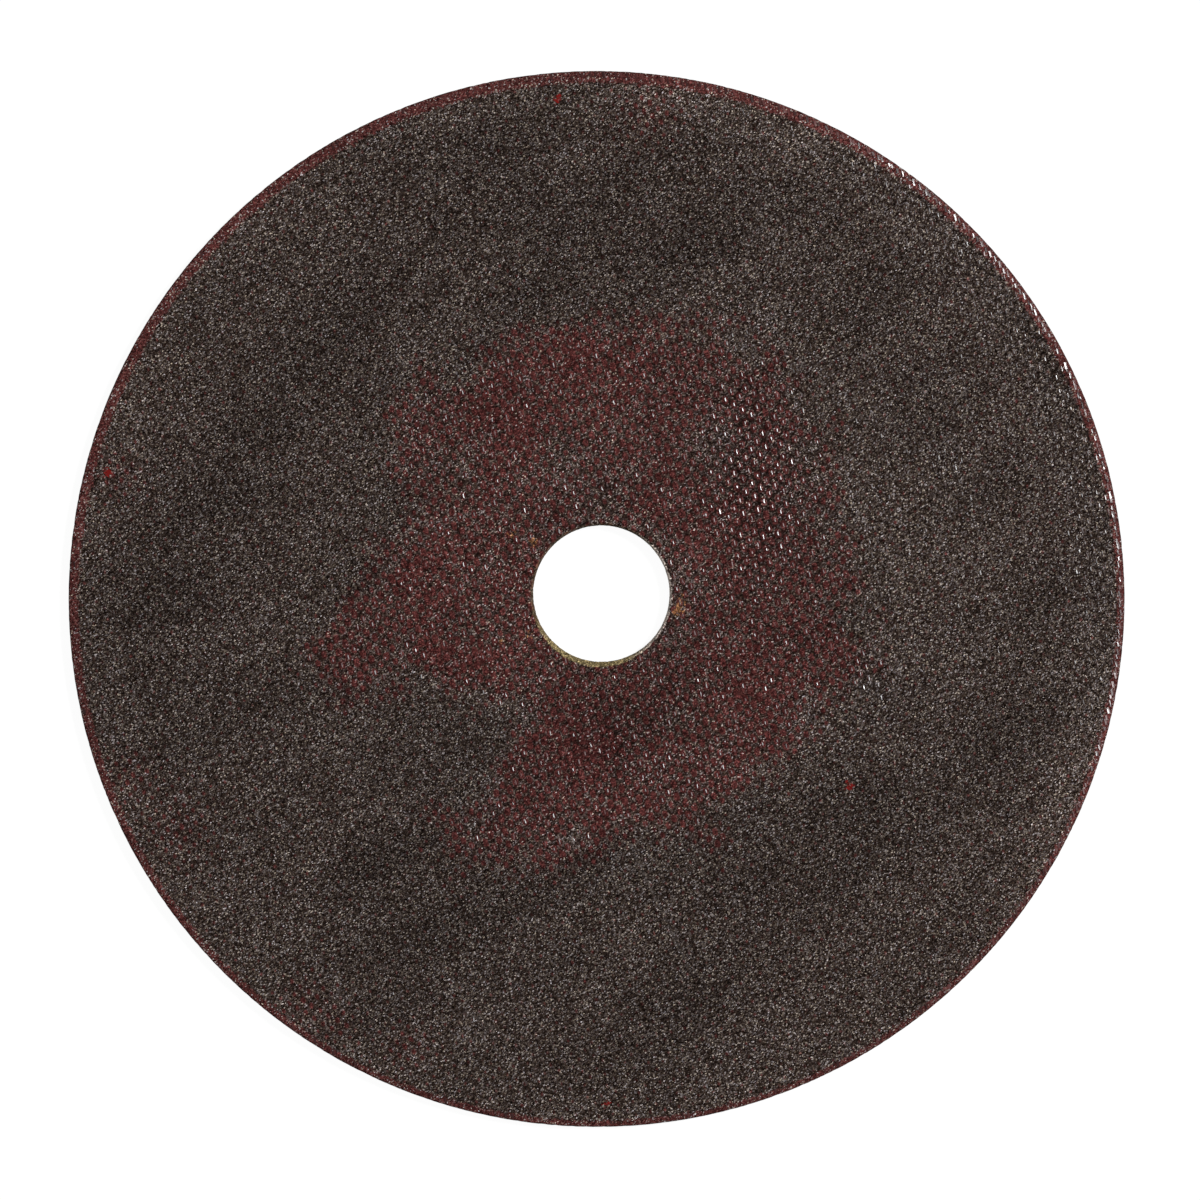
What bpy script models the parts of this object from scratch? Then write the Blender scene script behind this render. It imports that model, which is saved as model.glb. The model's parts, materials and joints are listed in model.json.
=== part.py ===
"""A thin cut-off wheel, pressed flat from abrasive grain, resin and glass cloth, lying on its back face.

Metres, +Z up. The origin is the centre of the rim circle, at the back face, on which the wheel rests.
The wheel is one solid: a disc turned from its section, less the arbor bore punched through it.
"""

import math

import bpy

# Overall sizes
WHEEL_DIAMETER = 0.0760
WHEEL_THICKNESS = 0.0016

# The resin-rich margin round the rim, where each face rolls over to the cutting edge
RIM_MARGIN = 0.00055
RIM_DROP = 0.00022

# The arbor bore, and the rolled lip where it meets each face. The punch that makes the bore
# comes down a little off the rim's centre, by this much along X and Y.
BORE_DIAMETER = 0.0100
BORE_LIP = 0.00015
BORE_OFF_CENTRE = (0.00033, 0.00036)

# How far the punch stands past each face
PUNCH_OVERRUN = 0.0020

# Facets of the round forms
RIM_SEGMENTS = 240
RIM_MARGIN_STEPS = 4
BORE_SEGMENTS = 96
BORE_LIP_STEPS = 3

# Points of a turned outline this close become one, which closes it on the axis
WELD_DISTANCE = 0.00001


def clear_scene():
    """Remove every object that is in the scene before the wheel is made."""
    for old in list(bpy.data.objects):
        bpy.data.objects.remove(old, do_unlink=True)


def new_collection(name):
    """Make a collection in the scene and return it."""
    collection = bpy.data.collections.new(name)
    bpy.context.scene.collection.children.link(collection)
    return collection


def abrasive_material():
    """Brown-black grain in red-brown phenolic resin: rough, with no metal in it."""
    material = bpy.data.materials.new("resin_bonded_grain")
    material.use_nodes = True
    shader = material.node_tree.nodes["Principled BSDF"]
    shader.inputs["Base Color"].default_value = (0.045, 0.036, 0.032, 1.0)
    shader.inputs["Roughness"].default_value = 0.72
    shader.inputs["Metallic"].default_value = 0.0
    material.diffuse_color = (0.045, 0.036, 0.032, 1.0)
    return material


def quarter_turns(steps):
    """The angles from 0 to 90 degrees, in equal steps, both ends included."""
    return [math.pi / 2 * step / steps for step in range(steps + 1)]


def wheel_section():
    """Half of the wheel's section, from the axis along the front face, round the rim and back.

    The margin is a quarter of an ellipse, RIM_MARGIN wide and RIM_DROP deep. It leaves the face
    without a step and meets the straight cutting edge without a corner.
    """
    rim = WHEEL_DIAMETER / 2
    flat = rim - RIM_MARGIN
    roll_over = [
        (flat + RIM_MARGIN * math.sin(turn), RIM_DROP * (1 - math.cos(turn)))
        for turn in quarter_turns(RIM_MARGIN_STEPS)
    ]
    front = [(radius, WHEEL_THICKNESS - drop) for radius, drop in roll_over]
    back = [(radius, drop) for radius, drop in reversed(roll_over)]
    return [(0.0, WHEEL_THICKNESS), *front, *back, (0.0, 0.0)]


def punch_section():
    """Half of the punch's section: straight through the wheel, and flared at each face.

    Each flare is a quarter circle of radius BORE_LIP about a point inside the wheel, so that
    what it leaves is a rounded lip, tangent to the face and to the wall of the bore.
    """
    bore = BORE_DIAMETER / 2
    mouth = bore + BORE_LIP
    flare = [
        (mouth - BORE_LIP * math.sin(turn), BORE_LIP * (1 - math.cos(turn)))
        for turn in quarter_turns(BORE_LIP_STEPS)
    ]
    top = WHEEL_THICKNESS + PUNCH_OVERRUN
    bottom = -PUNCH_OVERRUN
    front = [(radius, WHEEL_THICKNESS - depth) for radius, depth in flare]
    back = [(radius, depth) for radius, depth in reversed(flare)]
    return [(0.0, top), (mouth, top), *front, *back, (mouth, bottom), (0.0, bottom)]


def turned(name, section, segments, collection):
    """Turn a section, given as (radius, height) pairs from top to bottom, about the Z axis."""
    mesh = bpy.data.meshes.new(name)
    outline = [(radius, 0.0, height) for radius, height in section]
    edges = [(point, point + 1) for point in range(len(outline) - 1)]
    mesh.from_pydata(outline, edges, [])
    piece = bpy.data.objects.new(name, mesh)
    collection.objects.link(piece)
    screw = piece.modifiers.new("turn", "SCREW")
    screw.axis = "Z"
    screw.angle = 2 * math.pi
    screw.steps = segments
    screw.render_steps = segments
    screw.use_smooth_shade = True
    screw.use_merge_vertices = True
    screw.merge_threshold = WELD_DISTANCE
    return piece


def make_punch(cutters):
    """The cutter for the arbor bore, standing where the bore goes through the wheel."""
    punch = turned("bore_punch", punch_section(), BORE_SEGMENTS, cutters)
    punch.location.x = BORE_OFF_CENTRE[0]
    punch.location.y = BORE_OFF_CENTRE[1]
    punch.hide_render = True
    punch.display_type = "WIRE"
    return punch


def make_wheel(parts, punch):
    """The pressed disc, with its bore punched out and its flat faces kept flat in the shading."""
    wheel = turned("wheel", wheel_section(), RIM_SEGMENTS, parts)
    wheel.data.materials.append(abrasive_material())
    bore = wheel.modifiers.new("bore", "BOOLEAN")
    bore.operation = "DIFFERENCE"
    bore.solver = "EXACT"
    bore.object = punch
    shading = wheel.modifiers.new("flat_faces_lead", "WEIGHTED_NORMAL")
    shading.mode = "FACE_AREA"
    return wheel


def main():
    """Build the wheel in a cleared scene."""
    clear_scene()
    parts = new_collection("cut_off_wheel")
    cutters = new_collection("cutters")
    make_wheel(parts, make_punch(cutters))


main()
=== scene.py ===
"""The looks of a thin cut-off wheel: its cloth-pressed faces, its grain, its red resin, rim and bore.

Two surfaces stand for the wheel, one for each half of its thickness. Loose-looking grains are pressed
into them, and glazed caps of resin lie on the cloth's knuckles. Shapes are worked out in millimetres
with numpy and written in metres. Sizes come from the frame, and places on the face are in millimetres
from the rim's centre, +X right and +Y up.
"""

import json
import math

import bpy
import numpy as np
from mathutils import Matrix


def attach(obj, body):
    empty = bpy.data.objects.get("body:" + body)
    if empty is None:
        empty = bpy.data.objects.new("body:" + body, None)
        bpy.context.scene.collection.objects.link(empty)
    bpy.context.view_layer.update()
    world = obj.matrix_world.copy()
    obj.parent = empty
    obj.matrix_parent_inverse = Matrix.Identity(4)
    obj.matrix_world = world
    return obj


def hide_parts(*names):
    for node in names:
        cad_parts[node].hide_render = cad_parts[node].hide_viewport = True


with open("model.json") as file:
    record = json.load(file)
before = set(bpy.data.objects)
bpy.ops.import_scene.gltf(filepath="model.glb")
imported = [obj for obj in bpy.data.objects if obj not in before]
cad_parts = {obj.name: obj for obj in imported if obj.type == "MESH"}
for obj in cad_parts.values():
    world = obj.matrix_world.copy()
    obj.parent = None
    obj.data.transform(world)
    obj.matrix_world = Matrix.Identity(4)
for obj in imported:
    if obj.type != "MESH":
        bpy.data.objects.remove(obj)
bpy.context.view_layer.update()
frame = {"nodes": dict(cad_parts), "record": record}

MM = 0.001
FULL_TURN = 2 * math.pi

# Corners of the CAD node this close to a circle or to a level count as on it
SAME_PLACE = 0.001

# The photograph's frame: how wide it is and where the rim lies in it, in pixels. Then the camera's lens
# and sensor, and the distance in metres from which it sees.
PHOTO_WIDTH = 1200
RIM_CENTRE_PIXEL = (596.6, 598.9)
RIM_RADIUS_PIXELS = 528.2
LENS = 100.0
SENSOR = 36.0
NEAREST_SEEN = 0.01

# The light: the share that comes evenly from all round, and a round lamp for the rest
WORLD_LEVEL = 0.30
KEY_SIZE = 0.16
KEY_DISTANCE = 0.80
KEY_FROM_OVERHEAD = 35.0
KEY_COMES_FROM = 24.0

# The floor: how far out it is flat, the radius of the curve by which it then sweeps up, its corners
# round and its steps up, and how white it is by itself and as paper, which shows the shadow
FLOOR_REACH = 2000.0
FLOOR_SWEEP = 1000.0
FLOOR_CORNERS = 64
FLOOR_STEPS = 8
FLOOR_GLOW = 0.95
FLOOR_PAPER = 0.10

# The glass cloth pressed into each face: how far apart its yarns lie, and which way they run
WARP_PITCH = 0.525
WEFT_PITCH = 0.486
WARP_RUNS = 102.5
WEFT_RUNS = 12.0

# How far the yarns stray from straight lines, as (distance between bends, reach, seed) twice over,
# and how near an edge they stop straying
YARN_STRAYS = ((2.4, 0.05, 11), (9.0, 0.13, 13))
STRAY_MARGIN = 1.6

# The height of a yarn's knuckle: the part that the mesh holds, and the part that is bump
KNUCKLE_HEIGHT = 0.040
KNUCKLE_BUMP = 0.085
KNUCKLE_LEVEL = 0.35

# Glazed caps of resin: how strongly the cloth has to stand out before a knuckle has one and before
# nearly all have, the least and the greatest chance of one, half their length and width, how much of
# the length the ridge takes, the slope of their flanks, how far they lean down along the warp, how
# much they lean at random, how uneven they are, and how high they lie
CAPS_FROM = 0.40
CAPS_FULL = 0.80
CAP_CHANCES = (0.01, 0.95)
CAP_LENGTHS = (0.10, 0.20)
CAP_WIDTHS = (0.040, 0.076)
CAP_RIDGE = 0.6
CAP_SLOPE = 0.31
CAP_LEAN = 0.06
CAP_SPREAD = 0.032
CAP_UNEVENNESS = 0.002
CAP_LIFT = 0.018

# The glazed caps along the rim's margin: how many places there are for them in a full turn, by what
# share of the gap they stray from these, the least and the greatest chance of one, how much larger
# they are, the slope of their flanks, how far in from the rim they lie and how much that differs,
# how high, how far they lean outwards, and how much more at random
RIM_CAPS = 500
RIM_CAPS_STRAY = 0.3
RIM_CAP_CHANCES = (0.1, 0.96)
RIM_CAP_SCALE = 1.3
RIM_CAP_SLOPE = 0.03
RIM_CAPS_IN = 0.33
RIM_CAPS_SCATTER = 0.05
RIM_CAP_LIFT = 0.045
RIM_CAP_LEAN = 0.31
RIM_CAP_SPREAD = 0.03

# Where the rim's cloth stands out, the chance of a cap is RIM_CAPS_NEAR, held to the chances above, and
# the caps turn towards that place by a share RIM_TURNS_NEAR, held to RIM_TURNS_MOST. Both fall by 1
# with each RIM_CAPS_TURN degrees away from it.
RIM_CAPS_TURN = 45.0
RIM_CAPS_NEAR = 2.2
RIM_TURNS_NEAR = 1.6
RIM_TURNS_MOST = 0.9

# Places where the cloth stands out, as (x, y, half width, half height, strength), and what it has
# in the red zone, along the rim on the lamp's side, and elsewhere
CLOTH_STANDS_OUT = (
    (11.5, 8.5, 6.0, 12.5, 1.0),
    (19.6, -5.6, 3.0, 2.6, 0.9),
    (25.1, 10.0, 1.8, 1.8, 0.8),
    (27.9, -4.4, 1.8, 1.8, 0.8),
    (-8.4, -31.0, 1.6, 1.6, 0.9),
    (22.0, 6.0, 22.0, 26.0, 0.49),
)
CLOTH_IN_RED = 0.58
CLOTH_ELSEWHERE = 0.21
RIM_CLOTH_AT = 24.0
RIM_CLOTH_SPREAD = 56.0
RIM_CLOTH_DEPTH = 5.5
RIM_CLOTH_MOST = 1.3

# How much of the red zone's cloth there is on the zone's border, and over what width it fades there
CLOTH_ON_BORDER = 0.7
CLOTH_BORDER_WIDTH = 2.0

# How far past the rim and into the bore the cloth shows, along the surface, and over what it fades
CLOTH_PAST_RIM = 0.1
CLOTH_INTO_BORE = 0.3
CLOTH_FADE = 0.2

# A second cloth, deeper down, whose crossings make rows this far apart, running these ways
NET_PITCHES = (0.79, 0.85)
NET_RUNS = (29.0, -58.0)

# How far the pressed surface lies under the tips of the grain, and how uneven it is
GRAIN_HEADROOM = 0.085
SURFACE_JITTER = 0.010
PLACE_JITTER = 0.030
WAVE_HEIGHT = 0.012
WAVE_LENGTH = 3.5

# How far the surface stays inside the frame's rim, how much less the margin drops than the frame's,
# and how far the tips of grains and caps stay under the frame's faces
RIM_CLEARANCE = 0.002
MARGIN_CLEARANCE = 0.02
TIP_CLEARANCE = 0.004

# The loose-looking grains: how many are on each face, on the edge and round the bore, their radii, the
# power that makes small ones the commonest, their half axes as shares of the radius, how far their
# tips stray, and how far those of the faces are sunk
FACE_GRAINS = 24000
EDGE_GRAINS = 7000
BORE_GRAINS = 900
GRAIN_RADII = (0.026, 0.066)
SMALL_GRAINS = 1.6
GRAIN_AXES = (0.62, 1.0)
GRAIN_UNEVENNESS = 0.22
GRAIN_SINK = 0.01

# The yarns' net and the caps on it keep this far from the flat face's edge and from the bore's mouth,
# and the face's grains this far from the rim and from the mouth
NET_FROM_EDGE = 0.22
NET_FROM_MOUTH = 0.16
CAPS_FROM_EDGE = 0.1
CAPS_FROM_MOUTH = 0.15
GRAINS_FROM_RIM = 0.22
GRAINS_FROM_MOUTH = 0.05

# How many more grains are drawn for a face than are kept, because some fall into the bore
SPARE_GRAINS = 1.1

# Grains in the cutting edge and in the bore's wall: how far under the rim the largest ends, by what
# share of its radius it is sunk into the wall, how far they keep from the faces and the margins, and
# how far down the edge or the wall they count as lying
EDGE_GRAIN_SINK = 0.02
BORE_GRAIN_SINK = 0.9
EDGE_GRAINS_INSET = 0.1
EDGE_GRAINS_DOWN = 0.5

# The pressed grit, coarse and fine: grains to a millimetre, how widely their shades spread, which
# way the grains are drawn out, by what share they are shorter the other way, how steep and how domed
# their facets are, and at what distances, in cells, their seams begin and are deepest
COARSE_GRIT = 6.0
FINE_GRIT = 15.0
COARSE_SPREAD = 0.10
FINE_SPREAD = 6.4
GRIT_RUNS = 40.0
GRIT_SQUEEZE = 0.30
GRIT_TILT = 1.6
GRIT_DOME = 0.35
GRIT_SEAMS = (0.42, 0.72)

# Rings of points round the rim and the bore, and how ragged they are
RIM_POINTS = 960
BORE_POINTS = 240
RIM_ROUGHNESS = 0.030
BORE_ROUGHNESS = 0.045

# How many rings follow the rolled margin and the bore's lip, after what share of the quarter turn the
# first comes, and how many follow the cutting edge and the wall of the bore
MARGIN_RINGS = 7
MARGIN_FIRST = 0.12
LIP_RINGS = 5
LIP_FIRST = 0.1
EDGE_RINGS = 4
WALL_RINGS = 5

# How many rings of the rim, counted from the face, are as wavy and uneven as it is, and how many of
# the bore are as uneven
UNEVEN_RIM_RINGS = 4
UNEVEN_BORE_RINGS = 3

# The map for baking is this much wider than the half rolled out, and the corner of it that hidden faces
# share is this wide. A small body's faces share one triangle in a cell of its map.
MAP_MARGIN = 1.02
HIDDEN_CORNER = 0.01
MAP_TRIANGLE = ((0.15, 0.15), (0.85, 0.15), (0.5, 0.85))

# How far frayed cloth narrows the bore half way down, and how far it moves the opening, which way
BORE_FRAY = 0.095
BORE_SHIFT = 0.030
BORE_SHIFTS_TO = 55.0

# The band of bare resin round the rim: its middle width, how much wider it is towards the top, and
# how far along the surface it reaches past the flat face
BAND_WIDTH = 0.65
BAND_SWING = 0.22
BAND_WIDEST_AT = 110.0
BAND_END = 0.58

# The band of raw cloth round the bore: its middle width, how much wider it is at the bottom, and its
# width at least. Less than nothing is a band that starts below the bore's mouth. The widening at the
# bottom is painted light: it stands in for the lit side of the bore's lip.
RAW_BAND = -0.25
RAW_LIT_SWING = 0.36
RAW_LIT_AT = 254.0
RAW_LEAST = -0.105

# Where the red resin shows in the middle of the face
RED_ZONE = (
    (-7.3, 17.5),
    (-4.1, 19.0),
    (0.2, 19.7),
    (4.2, 18.9),
    (7.4, 19.3),
    (10.0, 19.7),
    (10.7, 18.3),
    (14.0, 15.2),
    (16.0, 12.1),
    (16.0, 9.0),
    (17.2, 4.6),
    (18.2, -1.6),
    (19.6, -4.5),
    (16.1, -7.2),
    (13.9, -10.9),
    (10.3, -13.7),
    (7.4, -17.0),
    (3.1, -15.9),
    (-0.5, -17.7),
    (-4.8, -18.8),
    (-8.4, -19.1),
    (-10.9, -16.6),
    (-7.0, -13.0),
    (-5.5, -8.4),
    (-10.6, -6.6),
    (-14.0, -5.6),
    (-17.2, -6.4),
    (-21.3, -4.4),
    (-19.6, -2.2),
    (-15.6, 0.6),
    (-14.9, 4.2),
    (-11.3, 7.1),
    (-14.6, 9.5),
    (-14.6, 13.6),
    (-12.0, 15.7),
    (-9.2, 15.4),
)

# Places, each with its radius, where the resin is reddest, and where it is missing inside the zone
REDDEST = (
    (-12.9, 1.5, 2.2),
    (-1.0, -10.6, 3.0),
    (-6.5, 13.0, 2.8),
    (-1.2, 17.2, 1.8),
    (-12.0, -4.2, 1.6),
    (-8.0, -4.6, 1.8),
    (11.0, -5.6, 2.2),
    (4.2, 7.0, 1.2),
)
LESS_RED = (
    (0.2, 6.8, 2.0),
    (-10.5, 9.6, 1.8),
    (-14.0, -3.6, 1.0),
    (6.0, 1.6, 1.4),
    (-2.4, 10.2, 1.6),
    (6.0, -8.6, 1.2),
    (3.9, 3.9, 1.6),
    (5.4, -2.8, 1.3),
    (8.5, 11.0, 2.0),
)

# Faint red patches near the rim, each with its radius
RED_PATCHES = (
    (-33.4, -12.8, 1.8),
    (-30.0, -16.6, 2.2),
    (-21.0, -28.8, 1.6),
    (-18.6, -30.6, 1.4),
    (-13.6, -32.3, 1.6),
    (3.8, 35.0, 2.2),
    (-34.2, 9.0, 1.6),
)

# How far the zone's border strays, as (reach, width, seed): streaks along each run of the deeper cloth,
# and soft noise. Then over what depth the redness rises, and between which values.
RED_BORDER_STREAKS = ((1.5, 0.8, 21), (1.2, 0.8, 22))
RED_BORDER_NOISE = (1.2, 2.8, 23)
RED_RISE = 2.6
RED_RANGE = (-1.3, 0.42)

# What the reddest places add to the redness and the others take away, how much it varies, as
# (strength, width, seed) of streaks and of soft noise, and how far a patch's border is under 0
REDDEST_ADD = 0.30
LESS_RED_TAKE = 0.55
RED_STREAKS = (0.16, 0.9, 24)
RED_NOISE = (0.12, 1.3, 25)
PATCH_REDNESS = 0.62

# Specks of bare tan cloth and of bright red resin, each with its radius
TAN_SPECKS = (
    (5.9, -0.7, 0.22),
    (6.15, -0.2, 0.16),
    (5.6, -1.0, 0.16),
    (6.1, 0.3, 0.12),
    (-4.5, 4.1, 0.16),
    (-6.1, 4.7, 0.12),
    (-4.9, -2.5, 0.12),
    (-6.8, -3.1, 0.10),
)
RED_SPECKS = ((-35.2, 9.1, 0.30), (-2.8, 36.0, 0.26), (0.7, -36.3, 0.24), (18.2, -13.4, 0.26))

# Dark blotches, each with its radius across the streaks, which run from lower left to upper right
DARK_BLOTCHES = (
    (-19.2, 19.3, 2.7),
    (-23.5, 12.9, 2.2),
    (-26.0, 7.5, 1.5),
    (-30.0, 0.6, 2.5),
    (-27.5, -8.7, 2.3),
    (-16.7, -19.5, 2.2),
    (-12.0, -23.8, 2.6),
    (-4.8, 21.9, 1.5),
    (-0.5, 28.0, 2.6),
    (7.4, 25.8, 2.2),
    (1.7, -9.4, 2.7),
    (-8.4, 32.0, 2.6),
    (18.2, 20.1, 2.1),
    (24.0, 16.5, 1.8),
    (23.6, 12.2, 1.7),
    (20.4, -14.5, 2.4),
    (11.0, -20.2, 2.2),
    (17.5, -20.6, 2.0),
    (6.0, -28.9, 2.8),
    (29.7, -10.1, 2.2),
    (28.3, 7.8, 2.3),
    (31.9, -0.1, 2.0),
    (-4.1, -21.7, 1.8),
)

# Which way the streaks run, and how many times their width their length is
STREAKS_RUN = 28.0
STREAK_LENGTH = 2.3

# How much lighter or darker the grain gets: soft streaks as (width, strength) with the first one's
# seed, blotches, where the cloth stands out, with how much more cloth that takes, and at the rim. The
# lightening where the cloth stands out, most of all on the lamp's side, is painted sheen.
STREAKS = ((3.2, 0.11), (1.4, 0.07), (0.75, 0.05))
STREAK_SEED = 41
BLOTCH_TONE = 0.30
CLOTH_PAINTED_SHEEN = 0.24
CLOTH_SHEEN_TAKES = 0.23
RIM_TONE = 0.18
RIM_TONE_DEPTH = 3.6

# Rubbed marks on the front: start, end, width and strength
SCRATCHES = (
    ((2.4, -17.7), (6.7, -26.7), 0.20, 0.45),
    ((-19.2, -8.0), (-15.6, -13.7), 0.12, 0.35),
    ((-9.3, -29.8), (-7.4, -31.0), 0.45, 0.35),
)

# The back is pressed the same way, and its marks lie turned by this much
BACK_TURN = 143.0

# Tints of the grain: pale grains are grey and dark ones brown, and each leans to yellow or to blue by
# chance. The grey of the palest is partly painted sparkle: neutral glints painted as pale grains.
# GRAIN_LEVEL is how light the middle grain is.
GREY_GRAIN_AND_SPARKLE = (1.14, 1.00, 0.92)
BROWN_GRAIN = (1.82, 1.00, 0.70)
YELLOW_CAST = (1.06, 1.00, 0.83)
BLUE_CAST = (0.95, 1.00, 1.15)
GRAIN_LEVEL = 0.0243

# Colours of what lies on the grain
RESIN_RED = (0.0565, 0.0138, 0.0128)
DULL_RESIN = (0.036, 0.0240, 0.0210)
RIM_RESIN = (0.080, 0.0215, 0.0200)
RAW_CLOTH = (0.200, 0.155, 0.075)
# A painted glint: raw cloth painted pale on the right of the bore's lip, where it catches the light
PAINTED_GLINT_CLOTH = (0.850, 0.730, 0.650)
TAN_CLOTH = (0.190, 0.085, 0.034)
CRIMSON = (0.200, 0.0130, 0.0110)
RUBBED = (0.120, 0.104, 0.096)

# Where red resin covers the grain: what the deeper cloth, a knuckle and noise add to the redness, the
# noise's waves to a millimetre, detail and roughness, and the sums at which it starts to cover and
# covers fully
RESIN_ON_NET = 0.09
RESIN_ON_KNUCKLE = 1.40
RESIN_BY_NOISE = 1.75
RESIN_NOISE = (3.2, 4.0, 0.75)
RESIN_COVERS = (1.26, 1.94)

# A thin film of the resin: how much it hides, and at what redness it starts and is whole
RESIN_FILM = 0.16
FILM_COVERS = (-0.9, 0.4)

# How far noise moves the border of each cover, and how soft the border is. Then the noise's waves to a
# millimetre.
BORDERS = {
    "rim_depth": (0.7, 0.10),
    "raw_and_lit_depth": (0.35, 0.06),
    "tan_depth": (1.6, 0.05),
    "crimson_depth": (0.9, 0.08),
}
SPECKLE_WAVES = 5.0

# The shades at which a grain is brown and at which it is grey. Then those at which it breaks through
# wholly and not at all, first through red resin and then through the rim's. The pale grains that break
# through the rim's resin are partly painted glints on it.
GREY_BETWEEN = (0.1, 0.9)
GRAIN_BREAKS_RESIN = (0.99, 0.85)
GRAINS_AND_GLINTS_IN_RIM = (0.88, 0.69)

# Heights on the knuckles between which a hollow grows dark with painted shade, and between which resin
# comes to be glazed. Then the chance numbers between which a knuckle comes to be glazed, and the noise
# between which a rubbed mark comes to show.
HOLLOW_SHADE_HEIGHTS = (0.40, 0.05)
GLAZED_HEIGHTS = (0.25, 0.50)
GLAZED_CHANCES = (0.2, 0.7)
RUBBED_SPECKS = (0.35, 0.6)

# How much of the grain red resin, the rim's resin and bare tan cloth hide, and how much darker the
# seams of the coarse grit and the hollows between knuckles are painted: painted shade in the pits
# between grains and in the hollows between knuckles
RESIN_HIDES = 0.94
RIM_HIDES = 0.88
TAN_HIDES = 0.7
PAINTED_SEAM_SHADE = 0.08
PAINTED_HOLLOW_SHADE = 0.52

# Raw cloth in the bore: between which X it turns pale, a painted glint on the right of the lip, between
# which Y it comes to show, painted light on the lit bottom of the lip, and how much of it shows at least
# and at most
PAINTED_GLINT_BETWEEN = (2.0, 5.0)
RAW_CLOTH_LIT_BETWEEN = (0.0, -3.6)
RAW_CLOTH_SHOWS = (0.18, 0.90)

# How widely the lightness varies with two random numbers: of resin and cloth, which go by the coarse
# and the fine grit, and of single grains. Then how widely that of the caps does.
COVER_SPREADS = (0.3, 3.1)
# The first spread of single grains makes a few nearly white: partly pale grains, partly painted glints
GRAIN_SPREADS = (6.5, 0.6)
CAP_SHADES = 1.4

# Relief of the pressed surface: how much of each grit's own height shows, how deep the coarse seams
# are, and how much the glaze flattens it all. Then how rough it is and how much smoother the glaze is.
COARSE_RELIEF = 0.09
FINE_RELIEF = 0.72
SEAM_DEPTH = 0.003
GLAZE_FLATTENS = 0.75
PRESSED_ROUGHNESS = 0.85
GLAZE_SMOOTHS = 0.4

# Specular levels of the pressed surface, and of single grains and caps
PRESSED_SPECULAR = 0.04
GLOSSY_SPECULAR = 0.5

# Single grains: the chance numbers between which red resin and the rim's resin come to cover them, how
# much raw and tan cloth do, and the depths between which that sets in. Then how rough the roughest are,
# and how much smoother the smoothest.
GRAIN_IN_RESIN = (0.9, 0.7)
GRAIN_IN_RIM = (0.9, 0.6)
RAW_ON_GRAIN = 0.7
TAN_ON_GRAIN = 0.75
GRAIN_BORDER = (-0.05, 0.10)
GRAIN_ROUGHNESS = 0.70
GRAIN_GLOSS = 0.40

# Caps turn from dull to red between these values of the redness or of the depth in the rim's band
CAP_RED_BETWEEN = (-0.3, 0.1)

# A cap's roughness is at least CAP_ROUGHNESS. Its dullness comes on top: by chance, from the least to
# that plus the spread, times how far its share of cloth is under CAP_SMOOTH_CLOTH, and fading out
# between two depths in the rim's band.
CAP_ROUGHNESS = 0.18
CAP_DULL_LEAST = 0.13
CAP_DULL_SPREAD = 0.65
CAP_SMOOTH_CLOTH = 1.08
CAP_SMOOTH_RIM = (0.35, -0.05)


def read_frame():
    """The wheel's own sizes, in millimetres, measured on its CAD node and on the arbor opening."""
    node = frame["nodes"]["wheel"]
    corners = np.empty(len(node.data.vertices) * 3, np.float32)
    node.data.vertices.foreach_get("co", corners)
    corners = corners.reshape(-1, 3).astype(float) / MM
    hole = np.array(frame["record"]["physics"]["openings"][0]["box_m"]) / MM
    bore_centre = hole[:, :2].mean(axis=0)
    top = corners[:, 2].max()
    reach = np.hypot(corners[:, 0], corners[:, 1])
    from_bore = np.hypot(*(corners[:, :2] - bore_centre).T)
    on_face = corners[:, 2] > top - SAME_PLACE
    on_rim = reach > reach.max() - SAME_PLACE
    return {
        "thickness": top - corners[:, 2].min(),
        "rim": reach.max(),
        "flat": reach[on_face].max(),
        "drop": top - corners[on_rim, 2].max(),
        "bore_centre": bore_centre,
        "bore": from_bore.min(),
        "mouth": from_bore[on_face].min(),
    }


SIZES = read_frame()
HALF = SIZES["thickness"] / 2


def direction(degrees):
    """The unit vector at an angle from +X."""
    turn = math.radians(degrees)
    return np.array([math.cos(turn), math.sin(turn)])


def on_circle(turn):
    """Points on the unit circle, at these angles in radians."""
    return np.stack([np.cos(turn), np.sin(turn)], axis=1)


def angles(points):
    """The angle from +X at which each point lies about the origin, in degrees."""
    return np.degrees(np.arctan2(points[:, 1], points[:, 0]))


def wrapped(degrees):
    """The same angle, between -180 and 180 degrees."""
    return (degrees + 180) % 360 - 180


def seed_of(side):
    """The number from which a half's random draws start."""
    return 100 if side > 0 else 200


def turned(points, degrees):
    """Points turned about the rim's centre."""
    along = direction(degrees)
    across = np.array([-along[1], along[0]])
    return points[..., :1] * along + points[..., 1:2] * across


def from_mouth_of_bore(points):
    """How far each point lies outside the mouth of the bore, seen from above."""
    return np.hypot(*np.moveaxis(points - SIZES["bore_centre"], -1, 0)) - SIZES["mouth"]


def smooth_noise(points, cell, seed):
    """Soft random heights from -1 to 1: random values on a net of square cells, blended by a cubic."""
    spread = int(2 * (SIZES["rim"] + 2) / cell) + 3
    net = np.random.default_rng(seed).uniform(-1, 1, (spread, spread))
    place = points / cell + spread / 2
    corner = np.floor(place).astype(int)
    share = place - corner
    share = share * share * (3 - 2 * share)
    column, row = corner[..., 0] % spread, corner[..., 1] % spread
    right, above = (column + 1) % spread, (row + 1) % spread
    low = net[column, row] * (1 - share[..., 0]) + net[right, row] * share[..., 0]
    high = net[column, above] * (1 - share[..., 0]) + net[right, above] * share[..., 0]
    return low * (1 - share[..., 1]) + high * share[..., 1]


def streaks(points, runs, cell, seed):
    """Soft noise drawn out to STREAK_LENGTH times its width, along lines that run at an angle."""
    drawn = turned(points, -runs)
    drawn[..., 0] /= STREAK_LENGTH
    return smooth_noise(drawn, cell, seed)


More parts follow.
